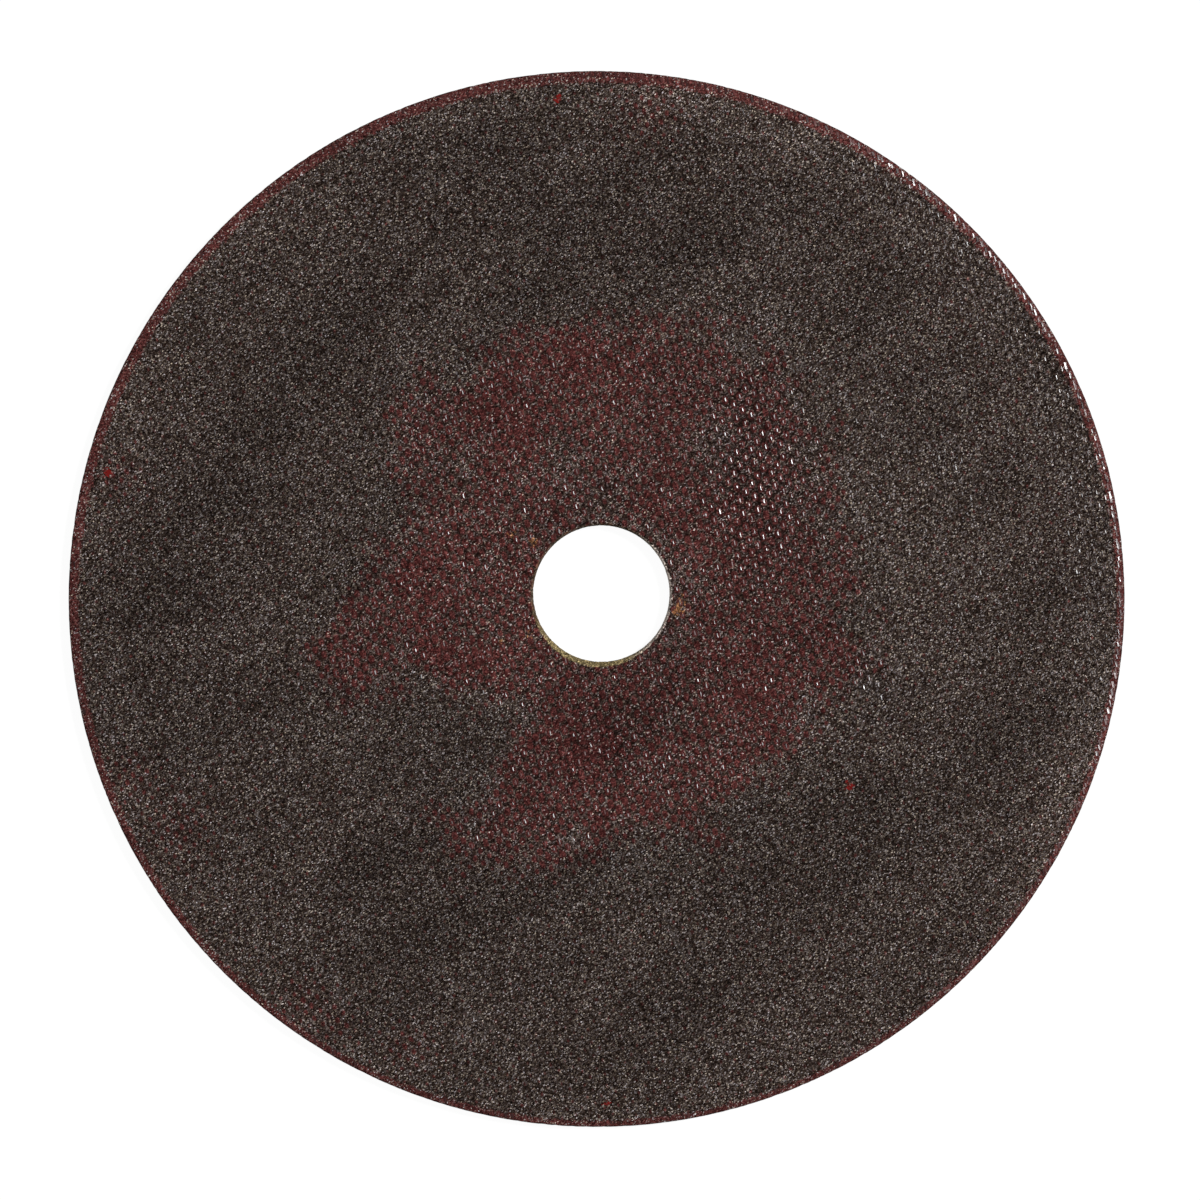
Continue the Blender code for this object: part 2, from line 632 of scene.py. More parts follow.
def room_to_stray(points):
    """1 where a yarn may stray freely, falling to 0 at the margin of the rim and at the bore."""
    room = np.minimum(SIZES["flat"] - np.hypot(points[..., 0], points[..., 1]), from_mouth_of_bore(points))
    return np.clip(room / STRAY_MARGIN, 0, 1)[..., None]


def stray(points):
    """How far the cloth is pulled out of true at each point: two soft noises, one short and one long."""
    shift = [
        sum(reach * smooth_noise(points, cell, seed + axis) for cell, reach, seed in YARN_STRAYS)
        for axis in (0, 1)
    ]
    return np.stack(shift, axis=-1) * room_to_stray(points)


def yarn_counts(points):
    """How many warp yarns and weft yarns lie between the rim's centre and each point."""
    true = points - stray(points)
    return true @ direction(WARP_RUNS - 90) / WARP_PITCH, true @ direction(WEFT_RUNS + 90) / WEFT_PITCH


def meeting_places(warp, weft):
    """Where these counts of warp yarns and of weft yarns meet, before the cloth strays."""
    normals = np.array([direction(WARP_RUNS - 90) / WARP_PITCH, direction(WEFT_RUNS + 90) / WEFT_PITCH])
    return np.stack([warp, weft], axis=-1) @ np.linalg.inv(normals).T


def knuckles(points):
    """Height, from 0 to 1, of the warp where it passes over the weft of a plain weave.

    It is (|cos(pi warp)| + cos(pi warp) cos(pi weft)) / 2, counted in yarns: a round hump along each
    warp yarn, high at every second crossing and down at the ones between.
    """
    warp, weft = yarn_counts(points)
    warp_cos = np.cos(math.pi * warp)
    return (np.abs(warp_cos) + warp_cos * np.cos(math.pi * weft)) / 2


def seen_from_front(points, side):
    """Where the marks of the front face lie for these points of a half: the back's are turned."""
    return points if side > 0 else turned(points * np.array([-1.0, 1.0]), BACK_TURN)


def cloth_share(points, reach):
    """How strongly the cloth stands out at each point of the front, from 0 to 1."""
    depth = inside_depth(points, np.array(RED_ZONE))
    inside = np.clip(depth / CLOTH_BORDER_WIDTH + CLOTH_ON_BORDER, 0, 1)
    share = np.maximum(CLOTH_ELSEWHERE, CLOTH_IN_RED * inside)
    for x, y, half_width, half_height, strength in CLOTH_STANDS_OUT:
        offset = (points - np.array([x, y])) / np.array([half_width, half_height])
        share = np.maximum(share, strength * np.exp(-(offset**2).sum(axis=1)))
    away = wrapped(angles(points) - RIM_CLOTH_AT)
    near_rim = np.clip(RIM_CLOTH_MOST - (SIZES["rim"] - reach) / RIM_CLOTH_DEPTH, 0, 1)
    return np.maximum(share, near_rim * np.exp(-((away / RIM_CLOTH_SPREAD) ** 2)))


def face_height(points, side):
    """Height of a pressed face above the middle of the wheel: its level, soft waves and the knuckles."""
    waves = WAVE_HEIGHT * smooth_noise(points, WAVE_LENGTH, seed_of(side))
    share = cloth_share(seen_from_front(points, side), np.hypot(*points.T))
    return HALF - GRAIN_HEADROOM + waves + KNUCKLE_HEIGHT * share * (knuckles(points) - KNUCKLE_LEVEL)


def inside_depth(points, outline):
    """How deep each point lies inside a closed outline, and less than nothing outside it.

    It is the distance to the nearest side. A point is inside if a ray to its right crosses an odd
    number of sides.
    """
    nearest = np.full(len(points), np.inf)
    inside = np.zeros(len(points), bool)
    for start, end in zip(outline, np.roll(outline, -1, axis=0)):
        side = end - start
        offset = points - start
        share = np.clip(offset @ side / (side @ side), 0, 1)
        nearest = np.minimum(nearest, np.hypot(*(offset - share[:, None] * side).T))
        spans = (start[1] > points[:, 1]) != (end[1] > points[:, 1])
        rise = side[1] if side[1] else 1.0
        inside ^= spans & (points[:, 0] < start[0] + side[0] * offset[:, 1] / rise)
    return np.where(inside, nearest, -nearest)


def bumps(points, places, length=1.0):
    """The sum of soft round bumps, each exp(-(distance / radius)^2), drawn out along the streaks."""
    total = np.zeros(len(points))
    for x, y, radius in places:
        offset = turned(points - np.array([x, y]), -STREAKS_RUN) / radius
        offset[:, 0] /= length
        total += np.exp(-(offset**2).sum(axis=1))
    return total


def speck_depth(points, places):
    """How deep each point lies inside the nearest of some round specks, in millimetres."""
    depth = np.full(len(points), -1.0)
    for x, y, radius in places:
        depth = np.maximum(depth, radius - np.hypot(points[:, 0] - x, points[:, 1] - y))
    return depth


def redness(points):
    """How red each point of the front is: under 0 outside the red zone, and most in its middle.

    The zone's border is drawn out into streaks along the yarns of the deeper cloth.
    """
    depth = inside_depth(points, np.array(RED_ZONE))
    for runs, (strays, width, seed) in zip(NET_RUNS, RED_BORDER_STREAKS):
        depth += strays * streaks(points, runs, width, seed)
    strays, width, seed = RED_BORDER_NOISE
    depth += strays * smooth_noise(points, width, seed)
    red = np.clip(depth / RED_RISE, *RED_RANGE)
    red += REDDEST_ADD * bumps(points, REDDEST) - LESS_RED_TAKE * bumps(points, LESS_RED)
    strength, width, seed = RED_STREAKS
    red += strength * streaks(points, NET_RUNS[0], width, seed)
    strength, width, seed = RED_NOISE
    red += strength * smooth_noise(points, width, seed)
    return np.maximum(red, PATCH_REDNESS * (np.minimum(bumps(points, RED_PATCHES), 1) - 1))


def tone(points, reach):
    """How much lighter or darker the grain is at each point, as the logarithm of a factor."""
    value = sum(
        strength * streaks(points, STREAKS_RUN, cell, STREAK_SEED + number)
        for number, (cell, strength) in enumerate(STREAKS)
    )
    value -= BLOTCH_TONE * np.minimum(bumps(points, DARK_BLOTCHES, STREAK_LENGTH), 1)
    # Painted sheen: lighter where the cloth stands out, which is mostly on the lamp's side
    more_cloth = cloth_share(points, reach) - CLOTH_ELSEWHERE
    value += CLOTH_PAINTED_SHEEN * np.clip(more_cloth / CLOTH_SHEEN_TAKES, 0, 1)
    return value + RIM_TONE * np.clip(1 - (SIZES["flat"] - reach) / RIM_TONE_DEPTH, 0, 1)


def surface_marks(points, reach, from_mouth, side):
    """What shows at each point of a half, as named numbers that the materials read.

    points are seen from above, reach is how far out the point lies, measured along the surface,
    and from_mouth is how far it lies from the mouth of the bore, measured the same way.
    """
    seen = seen_from_front(points, side)
    band = BAND_WIDTH + BAND_SWING * np.cos(np.radians(angles(seen) - BAND_WIDEST_AT))
    round_bore = angles(points - SIZES["bore_centre"])
    # Painted light: the raw band is widened towards the bottom of the bore, where the lip is lit
    raw = np.maximum(RAW_BAND + RAW_LIT_SWING * np.cos(np.radians(round_bore - RAW_LIT_AT)), RAW_LEAST)
    warp, weft = yarn_counts(points)
    # The cloth shows on the face and its margins, and not on the cutting edge or the bore's wall
    shows = np.clip((SIZES["rim"] + CLOTH_PAST_RIM - reach) / CLOTH_FADE, 0, 1)
    shows *= np.clip((from_mouth + CLOTH_INTO_BORE) / CLOTH_FADE, 0, 1)
    return {
        "warp": warp,
        "weft": weft,
        "cloth": cloth_share(seen, reach) * shows,
        "redness": redness(seen),
        "tone": tone(seen, reach),
        "rim_depth": np.minimum(reach - (SIZES["rim"] - band), SIZES["flat"] + BAND_END - reach),
        "raw_and_lit_depth": raw - from_mouth,
        "tan_depth": speck_depth(seen, TAN_SPECKS),
        "crimson_depth": speck_depth(seen, RED_SPECKS),
    }


def zip_loops(inner, inner_turn, outer, outer_turn):
    """Triangles that join two rings of points, each given with its angles, round and round.

    Both rings are walked by angle together. Each step forward on one ring makes a triangle with the
    point that the other ring has reached by then, so the strip closes whatever the two counts are.
    Where both rings have a point at one angle, the inner ring steps first.
    """
    inner = inner[np.argsort(inner_turn)]
    outer = outer[np.argsort(outer_turn)]
    next_inner_turn = np.roll(np.sort(inner_turn), -1)
    next_outer_turn = np.roll(np.sort(outer_turn), -1)
    reached = np.searchsorted(np.sort(outer_turn), next_inner_turn, side="left") - 1
    on_inner = np.stack([inner, outer[reached], np.roll(inner, -1)], axis=1)
    reached = np.searchsorted(np.sort(inner_turn), next_outer_turn, side="right") - 1
    on_outer = np.stack([inner[reached], outer, np.roll(outer, -1)], axis=1)
    return on_inner, on_outer


def face_net():
    """The pressed face as a net with two cells to a yarn, both ways, before the cloth strays.

    Returns the points seen from above, the four corners of each cell, and the numbers of the points
    on the outer and on the inner edge of what is kept.
    """
    steps = int(2 * SIZES["rim"] / min(WARP_PITCH, WEFT_PITCH)) + 4
    count = np.arange(-steps, steps + 1)
    points = meeting_places(*np.meshgrid(count / 2, count / 2, indexing="ij"))
    reach = np.hypot(points[..., 0], points[..., 1])
    kept = (reach < SIZES["flat"] - NET_FROM_EDGE) & (from_mouth_of_bore(points) > NET_FROM_MOUTH)
    cells = kept[:-1, :-1] & kept[1:, :-1] & kept[:-1, 1:] & kept[1:, 1:]
    around = np.zeros(points.shape[:2], int)
    for row in (0, 1):
        for column in (0, 1):
            around[row : row + cells.shape[0], column : column + cells.shape[1]] += cells
    used = around > 0
    edge = used & (around < 4)
    number = np.cumsum(used.ravel()).reshape(used.shape) - 1
    corners = [number[:-1, :-1], number[1:, :-1], number[1:, 1:], number[:-1, 1:]]
    quads = np.stack([corner[cells] for corner in corners], axis=1)
    middle = (SIZES["flat"] + SIZES["mouth"]) / 2
    return points[used], quads, number[edge & (reach > middle)], number[edge & (reach < middle)]


def ring(radius_heights, count, centre):
    """Rings of points about a centre, one for each (radius, height), as (ring, point, xyz)."""
    turn = np.arange(count) * FULL_TURN / count
    radius, height = np.array(radius_heights).T
    flat = centre + radius[:, None, None] * on_circle(turn)
    level = np.broadcast_to(height[:, None, None], flat.shape[:2] + (1,))
    return np.concatenate([flat, level], axis=2), turn


def ring_quads(first, rows, count):
    """The four corners of each cell between neighbouring rings, the first ring's points leading."""
    row, point = np.meshgrid(np.arange(rows - 1), np.arange(count), indexing="ij")
    after = (point + 1) % count
    below = row + 1
    corners = [row * count + point, below * count + point, below * count + after, row * count + after]
    return first + np.stack([corner.ravel() for corner in corners], axis=1)


def rim_profile():
    """The half section from the face over the rolled margin and down the cutting edge to the middle.

    The margin is a quarter of an ellipse, as wide and as deep as the frame's, a little inside it.
    """
    widest = SIZES["rim"] - RIM_CLEARANCE
    margin = widest - SIZES["flat"]
    drop = SIZES["drop"] - MARGIN_CLEARANCE
    turns = np.linspace(MARGIN_FIRST, 1, MARGIN_RINGS) * math.pi / 2
    level = HALF - GRAIN_HEADROOM
    rolled = [
        (SIZES["flat"] + margin * math.sin(turn), level - drop * (1 - math.cos(turn))) for turn in turns
    ]
    shoulder = rolled[-1][1]
    edge = [(widest, shoulder * (1 - share)) for share in np.linspace(0, 1, EDGE_RINGS + 1)[1:]]
    return [(SIZES["flat"], level), *rolled, *edge]


def bore_profile():
    """The half section from the face over the bore's lip, a quarter circle, and down to the middle.

    Frayed cloth stands out of the wall by BORE_FRAY.
    """
    lip = SIZES["mouth"] - SIZES["bore"]
    level = HALF - GRAIN_HEADROOM
    turns = np.linspace(LIP_FIRST, 1, LIP_RINGS) * math.pi / 2
    rolled = [
        (SIZES["mouth"] - lip * math.sin(turn), level - lip * (1 - math.cos(turn))) for turn in turns
    ]
    shoulder = rolled[-1][1]
    wall = [
        (SIZES["bore"] - BORE_FRAY * math.sin(share * math.pi / 2), shoulder * (1 - share))
        for share in np.linspace(0, 1, WALL_RINGS + 1)[1:]
    ]
    return [(SIZES["mouth"], level), *rolled, *wall]


def developed(profile):
    """How far along the section each of its points lies from the first."""
    steps = np.hypot(*np.diff(np.array(profile), axis=0).T)
    return np.concatenate([[0.0], np.cumsum(steps)])


def ragged_ring(rings, towards, roughness, seed, chance):
    """Push each point of the rings at random into the wheel's body, but the first ring not at all.

    The last ring lies in the middle of the thickness, where both halves have to draw the same.
    """
    push = chance.uniform(0, 1, rings.shape[:2]) ** 2
    push[0] = 0
    push[-1] = np.random.default_rng(seed).uniform(0, 1, rings.shape[1]) ** 2
    rings[..., :2] += roughness * push[..., None] * towards


def half_rings(side, chance):
    """The rings outside and inside a half's face, ragged and uneven, each with its points' angles.

    The margin's rings follow the face's waves and knuckles, and those of the bore's wall move over by
    up to BORE_SHIFT on the way down.
    """
    rim, rim_turn = ring(rim_profile(), RIM_POINTS, np.zeros(2))
    bore, bore_turn = ring(bore_profile(), BORE_POINTS, SIZES["bore_centre"])
    inwards = -rim[0, :, :2] / SIZES["flat"]
    outwards = (bore[0, :, :2] - SIZES["bore_centre"]) / SIZES["mouth"]
    ragged_ring(rim, inwards, RIM_ROUGHNESS, 5, chance)
    ragged_ring(bore, outwards, BORE_ROUGHNESS, 6, chance)
    share = np.linspace(1 / WALL_RINGS, 1, WALL_RINGS)[:, None, None]
    bore[-WALL_RINGS:, :, :2] += BORE_SHIFT * direction(BORE_SHIFTS_TO) * share
    for row in rim[:UNEVEN_RIM_RINGS]:
        row[:, 2] += face_height(row[:, :2], side) - HALF + GRAIN_HEADROOM
    for rings, uneven in ((rim, UNEVEN_RIM_RINGS), (bore, UNEVEN_BORE_RINGS)):
        rings[:uneven, :, 2] += chance.uniform(-1, 1, (uneven, rings.shape[1])) * SURFACE_JITTER
    return rim, rim_turn, bore, bore_turn


def baking_map(flat, reach, from_mouth, first_rim, first_bore, rim_turn, bore_turn):
    """The half rolled out flat, between 0 and 1, so that distances from the axis follow the surface.

    The rim's rings start at the point first_rim and the bore's at first_bore. reach and from_mouth are
    measured along the surface, as in surface_marks().
    """
    places = flat.copy()
    around = on_circle(np.resize(rim_turn, first_bore - first_rim))
    places[first_rim:first_bore] = reach[first_rim:first_bore, None] * around
    around = on_circle(np.resize(bore_turn, len(flat) - first_bore))
    bore_reach = SIZES["mouth"] + from_mouth[first_bore:]
    places[first_bore:] = SIZES["bore_centre"] + bore_reach[:, None] * around
    return places / (2 * MAP_MARGIN * reach.max()) + 0.5


def wheel_half(name, side):
    """One half of the wheel, closed in the middle of the thickness: side is 1 in front and -1 behind.

    The face is a net locked to the yarns, with height level + waves + knuckles + jitter. Rings follow
    the margin and the cutting edge, and the lip and wall of the bore, and strips zip them to the net.
    """
    chance = np.random.default_rng(seed_of(side))
    true, quads, outer_edge, inner_edge = face_net()
    flat = true + stray(true) + PLACE_JITTER * chance.uniform(-1, 1, true.shape) * room_to_stray(true)
    height = face_height(flat, side) + chance.uniform(-1, 1, len(flat)) * SURFACE_JITTER
    face = np.column_stack([flat, height])

    rim, rim_turn, bore, bore_turn = half_rings(side, chance)

    first_rim = len(face)
    first_bore = first_rim + rim.shape[0] * RIM_POINTS
    points = np.concatenate([face, rim.reshape(-1, 3), bore.reshape(-1, 3)])
    rim_top = first_rim + np.arange(RIM_POINTS)
    bore_top = first_bore + np.arange(BORE_POINTS)
    rim_middle = first_bore - RIM_POINTS + np.arange(RIM_POINTS)
    bore_middle = len(points) - BORE_POINTS + np.arange(BORE_POINTS)

    # Angles are counted from 0 to a full turn, about the rim's centre outside and the bore's inside
    outer_turn = np.arctan2(true[outer_edge, 1], true[outer_edge, 0]) % FULL_TURN
    about = true[inner_edge] - SIZES["bore_centre"]
    inner_turn = np.arctan2(about[:, 1], about[:, 0]) % FULL_TURN
    strips = [
        *zip_loops(outer_edge, outer_turn, rim_top, rim_turn),
        *zip_loops(bore_top, bore_turn, inner_edge, inner_turn),
    ]
    middle = [strip[:, ::-1] for strip in zip_loops(bore_middle, bore_turn, rim_middle, rim_turn)]
    rim_cells = ring_quads(first_rim, rim.shape[0], RIM_POINTS)
    bore_cells = ring_quads(first_bore, bore.shape[0], BORE_POINTS)[:, ::-1]
    faces = [quads, rim_cells, bore_cells, *strips, *middle]

    # How far out each point lies along the surface, and how far from the mouth of the bore
    reach = np.hypot(points[:, 0], points[:, 1])
    from_mouth = from_mouth_of_bore(points[:, :2])
    reach[first_rim:first_bore] = SIZES["flat"] + np.repeat(developed(rim_profile()), RIM_POINTS)
    from_mouth[first_bore:] = -np.repeat(developed(bore_profile()), BORE_POINTS)
    marks = surface_marks(points[:, :2], reach, from_mouth, side)
    places = baking_map(points[:, :2], reach, from_mouth, first_rim, first_bore, rim_turn, bore_turn)
    hidden = sum(len(strip) for strip in middle)

    points[:, 2] = HALF + side * points[:, 2]
    return make_piece(name, points, faces, side, marks, places, hidden, smooth=True)


def make_piece(name, points, faces, side, marks, places, hidden, smooth):
    """Put points (in millimetres) and faces into a mesh object with its marks and its map for baking.

    faces is a list of arrays with three or four corners to a row. A side of -1 turns every face
    round. The last `hidden` faces lie inside the wheel, and share one small corner of the map.
    """
    if side < 0:
        faces = [block[:, ::-1] for block in faces]
    corners = np.concatenate([block.ravel() for block in faces]).astype(np.int32)
    sizes = np.concatenate([np.full(len(block), block.shape[1]) for block in faces])
    starts = np.concatenate([[0], np.cumsum(sizes)[:-1]]).astype(np.int32)
    mesh = bpy.data.meshes.new(name)
    mesh.vertices.add(len(points))
    mesh.vertices.foreach_set("co", (points * MM).astype(np.float32).ravel())
    mesh.loops.add(len(corners))
    mesh.loops.foreach_set("vertex_index", corners)
    mesh.polygons.add(len(sizes))
    mesh.polygons.foreach_set("loop_start", starts)
    mesh.update(calc_edges=True)
    mesh.polygons.foreach_set("use_smooth", np.full(len(sizes), smooth))
    for label, values in marks.items():
        attribute = mesh.attributes.new(label, "FLOAT", "POINT")
        attribute.data.foreach_set("value", values.astype(np.float32))
    on_map = places[corners] if len(places) == len(points) else places
    if hidden:
        start = starts[-hidden]
        on_map[start:] = np.tile([[0.0, 0.0], [HIDDEN_CORNER, 0.0], [0.0, HIDDEN_CORNER]], (hidden, 1))
        sharpen_rings(mesh, set_of=np.unique(corners[start:]))
    layer = mesh.uv_layers.new(name="OFBake")
    layer.uv.foreach_set("vector", on_map.astype(np.float32).ravel())
    mesh.validate()
    piece = bpy.data.objects.new(name, mesh)
    bpy.context.scene.collection.objects.link(piece)
    return piece


def sharpen_rings(mesh, set_of):
    """Mark as sharp each edge between two of these points, so that the inside doesn't bend the shading."""
    ends = np.empty(len(mesh.edges) * 2, np.int32)
    mesh.edges.foreach_get("vertices", ends)
    sharp = np.isin(ends.reshape(-1, 2), set_of).all(axis=1)
    attribute = mesh.attributes.new("sharp_edge", "BOOLEAN", "EDGE")
    attribute.data.foreach_set("value", sharp)


def margin_drop(reach):
    """How far the rolled margin lies under the face at each distance from the axis."""
    rolled = np.clip((reach - SIZES["flat"]) / (SIZES["rim"] - SIZES["flat"]), 0, 1)
    return SIZES["drop"] * (1 - np.sqrt(1 - rolled**2))


def grain_marks(flat, reach, from_mouth, side, chance):
    """The marks of single grains: those of the surface there, the knuckle's height, and a chance number."""
    marks = surface_marks(flat, reach, from_mouth, side)
    marks["knuckle"] = knuckles(flat)
    marks["shade"] = chance.uniform(0, 1, len(flat))
    return marks


def random_turns(count, chance):
    """Random rotations: three random vectors made square to each other, with mirrored ones put right."""
    turns, _ = np.linalg.qr(chance.normal(size=(count, 3, 3)))
    turns[:, :, 0] *= np.sign(np.linalg.det(turns))[:, None]
    return turns


def small_bodies(name, points, sides, limits, marks, side):
    """One piece of many small closed bodies, all with the same triangles between their points.

    points is (body, point, xyz), in millimetres, and sides has a body's triangles. limits is the
    greatest height above the middle that each body may reach: one that would stand higher is sunk.
    """
    over = np.maximum(points[..., 2].max(axis=1) - limits, 0)
    points[..., 2] -= over[:, None]
    points[..., 2] = HALF + side * points[..., 2]
    count, size = points.shape[:2]
    faces = np.array(sides) + size * np.arange(count)[:, None, None]
    spread = {label: np.repeat(values, size) for label, values in marks.items()}
    # Each body has one colour, so all its faces share one cell of the map for baking
    across = math.ceil(math.sqrt(count))
    cell = np.stack([np.arange(count) % across, np.arange(count) // across], axis=1)
    triangle = (cell[:, None, :] + np.array(MAP_TRIANGLE)) / across
    places = np.repeat(triangle, len(sides), axis=0).reshape(-1, 2)
    return make_piece(
        name, points.reshape(-1, 3), [faces.reshape(-1, 3)], side, spread, places, 0, smooth=False
    )


def grains(name, centres, limits, marks, side, chance):
    """Blocky grains of eight faces each: an octahedron with uneven half axes, turned at random."""
    count = len(centres)
    tips = np.array([[1, 0, 0], [-1, 0, 0], [0, 1, 0], [0, -1, 0], [0, 0, 1], [0, 0, -1]], float)
    sides = [[0, 2, 4], [2, 1, 4], [1, 3, 4], [3, 0, 4], [2, 0, 5], [1, 2, 5], [3, 1, 5], [0, 3, 5]]
    low, high = GRAIN_RADII
    radius = low + (high - low) * chance.uniform(0, 1, count) ** SMALL_GRAINS
    axes = radius[:, None] * chance.uniform(*GRAIN_AXES, (count, 3))
    uneven = tips + chance.uniform(-GRAIN_UNEVENNESS, GRAIN_UNEVENNESS, (count, len(tips), 3))
    bodies = np.einsum("gij,gvj->gvi", random_turns(count, chance), uneven * axes[:, None, :])
    return small_bodies(name, centres[:, None, :] + bodies, sides, limits, marks, side)


def capped_knuckles(side, chance):
    """Where caps of resin lie on the face: the tops of some knuckles, the more the cloth stands out."""
    steps = int(SIZES["rim"] / min(WARP_PITCH, WEFT_PITCH)) + 2
    warp, weft = np.meshgrid(*[np.arange(-steps, steps + 1)] * 2, indexing="ij")
    over = (warp + weft) % 2 == 0
    true = meeting_places(warp[over], weft[over])
    flat = true + stray(true)
    reach = np.hypot(*flat.T)
    share = cloth_share(seen_from_front(flat, side), reach)
    likely = np.clip((share - CAPS_FROM) / (CAPS_FULL - CAPS_FROM), *CAP_CHANCES)
    kept = (reach < SIZES["flat"] - CAPS_FROM_EDGE) & (from_mouth_of_bore(flat) > CAPS_FROM_MOUTH)
    return flat[kept & (chance.uniform(0, 1, len(flat)) < likely)]


def rim_cap_places(chance):
    """Where caps of resin lie along the rim, and the angle to which each leans, in radians.

    Each leans outwards, and near the place where the rim's cloth stands out it turns towards that.
    """
    place = np.arange(RIM_CAPS) + chance.uniform(-RIM_CAPS_STRAY, RIM_CAPS_STRAY, RIM_CAPS)
    turn = place * FULL_TURN / RIM_CAPS
    away = wrapped(RIM_CLOTH_AT - np.degrees(turn))
    likely = np.clip(RIM_CAPS_NEAR - np.abs(away) / RIM_CAPS_TURN, *RIM_CAP_CHANCES)
    kept = chance.uniform(0, 1, RIM_CAPS) < likely
    turn, away = turn[kept], away[kept]
    inset = RIM_CAPS_IN + RIM_CAPS_SCATTER * chance.uniform(-1, 1, (len(turn), 1))
    share = np.clip(RIM_TURNS_NEAR - np.abs(away) / RIM_CAPS_TURN, 0, RIM_TURNS_MOST)
    return on_circle(turn) * (SIZES["rim"] - inset), turn + np.radians(away * share)


def resin_caps(name, side, seed):
    """Glazed caps of resin, like low roofs closed below, on knuckles and along the rim.

    Each is a ridge along the warp with two long flanks and two short ends. Those on knuckles have
    flanks of CAP_SLOPE. Those along the rim are nearly flat, lean out with its margin, and are rare
    where its cloth doesn't stand out.
    """
    chance = np.random.default_rng(seed)
    on_face = capped_knuckles(side, chance)
    on_rim, facing = rim_cap_places(chance)
    flat = np.concatenate([on_face, on_rim])
    count = len(flat)
    at_rim = np.arange(count) >= len(on_face)
    length = chance.uniform(*CAP_LENGTHS, count)
    width = chance.uniform(*CAP_WIDTHS, count)
    ridge = width * np.where(at_rim, RIM_CAP_SLOPE, CAP_SLOPE)
    foot = [[-1, -1, -1], [1, -1, -1], [1, 1, -1], [-1, 1, -1]]
    corners = np.array([*foot, [0, -CAP_RIDGE, 0], [0, CAP_RIDGE, 0]])
    local = corners * np.stack([width, length, ridge], axis=1)[:, None, :]
    local[at_rim] *= RIM_CAP_SCALE
    local += chance.uniform(-1, 1, local.shape) * CAP_UNEVENNESS

    # Across the ridge, along it, and up, with each cap leaning its own way
    offset = local[..., :1] * direction(WARP_RUNS - 90) + local[..., 1:2] * direction(WARP_RUNS)
    drop = margin_drop(np.hypot(*flat.T))
    lean = CAP_LEAN * direction(WARP_RUNS) + chance.normal(0, CAP_SPREAD, (count, 2))
    lean[at_rim] = RIM_CAP_LEAN * on_circle(facing)
    lean[at_rim] += chance.normal(0, RIM_CAP_SPREAD, on_rim.shape)
    rise = local[..., 2] - (offset * lean[:, None]).sum(axis=2)
    height = face_height(flat, side) - drop + np.where(at_rim, RIM_CAP_LIFT, CAP_LIFT)
    points = np.concatenate([flat[:, None, :] + offset, (height[:, None] + rise)[..., None]], axis=2)

    sides = [[1, 2, 5], [1, 5, 4], [3, 0, 4], [3, 4, 5], [0, 1, 4], [2, 3, 5], [3, 2, 1], [3, 1, 0]]
    marks = grain_marks(flat, np.hypot(*flat.T), from_mouth_of_bore(flat), side, chance)
    return small_bodies(name, points, sides, HALF - drop - TIP_CLEARANCE, marks, side)


def face_grains(name, side, seed):
    """Grains pressed into a face, strewn evenly over the ring between the bore's lip and the margin."""
    chance = np.random.default_rng(seed)
    draws = chance.uniform(0, 1, (int(FACE_GRAINS * SPARE_GRAINS), 2))
    reach = np.sqrt(draws[:, 0]) * (SIZES["rim"] - GRAINS_FROM_RIM)
    flat = reach[:, None] * on_circle(draws[:, 1] * FULL_TURN)
    flat = flat[from_mouth_of_bore(flat) > GRAINS_FROM_MOUTH][:FACE_GRAINS]
    reach = np.hypot(*flat.T)
    drop = margin_drop(reach)
    centres = np.column_stack([flat, face_height(flat, side) - drop - GRAIN_SINK])
    marks = grain_marks(flat, reach, from_mouth_of_bore(flat), side, chance)
    return grains(name, centres, HALF - drop - TIP_CLEARANCE, marks, side, chance)


def edge_grains(name, seed):
    """Grains in the cutting edge and in the wall of the bore, sunk so that none stands past the frame."""
    chance = np.random.default_rng(seed)
    count = EDGE_GRAINS + BORE_GRAINS
    circle = on_circle(chance.uniform(0, FULL_TURN, count))
    on_rim = np.arange(count) < EDGE_GRAINS
    largest = GRAIN_RADII[1]
    flat = np.where(
        on_rim[:, None],
        (SIZES["rim"] - largest - EDGE_GRAIN_SINK) * circle,
        SIZES["bore_centre"] + (SIZES["bore"] + largest * BORE_GRAIN_SINK) * circle,
    )
    rolled = np.where(on_rim, SIZES["drop"], SIZES["mouth"] - SIZES["bore"])
    height = chance.uniform(-1, 1, count) * (HALF - rolled - EDGE_GRAINS_INSET)
    reach = np.where(on_rim, SIZES["rim"] + EDGE_GRAINS_DOWN, 2 * SIZES["bore"])
    from_mouth = np.where(on_rim, SIZES["rim"], -EDGE_GRAINS_DOWN)
    marks = grain_marks(flat, reach, from_mouth, 1, chance)
    limits = np.full(count, HALF - EDGE_GRAINS_INSET)
    return grains(name, np.column_stack([flat, height]), limits, marks, 1, chance)


def node(tree, kind, inputs=None, **settings):
    """Add a node, set its own properties, and link or set each of its inputs, by name or number."""
    made = tree.nodes.new("ShaderNode" + kind)
    for key, value in settings.items():
        setattr(made, key, value)
    for key, value in (inputs or {}).items():
        if isinstance(value, bpy.types.NodeSocket):
            tree.links.new(value, made.inputs[key])
        else:
            made.inputs[key].default_value = value
    return made


def calc(tree, operation, *values, clamp=False):
    """A Math node's result for these numbers or sockets."""
    return node(tree, "Math", dict(enumerate(values)), operation=operation, use_clamp=clamp).outputs[0]


def vector_calc(tree, operation, *values, output="Vector"):
    """A Vector Math node's result for these vectors or sockets."""
    return node(tree, "VectorMath", dict(enumerate(values)), operation=operation).outputs[output]


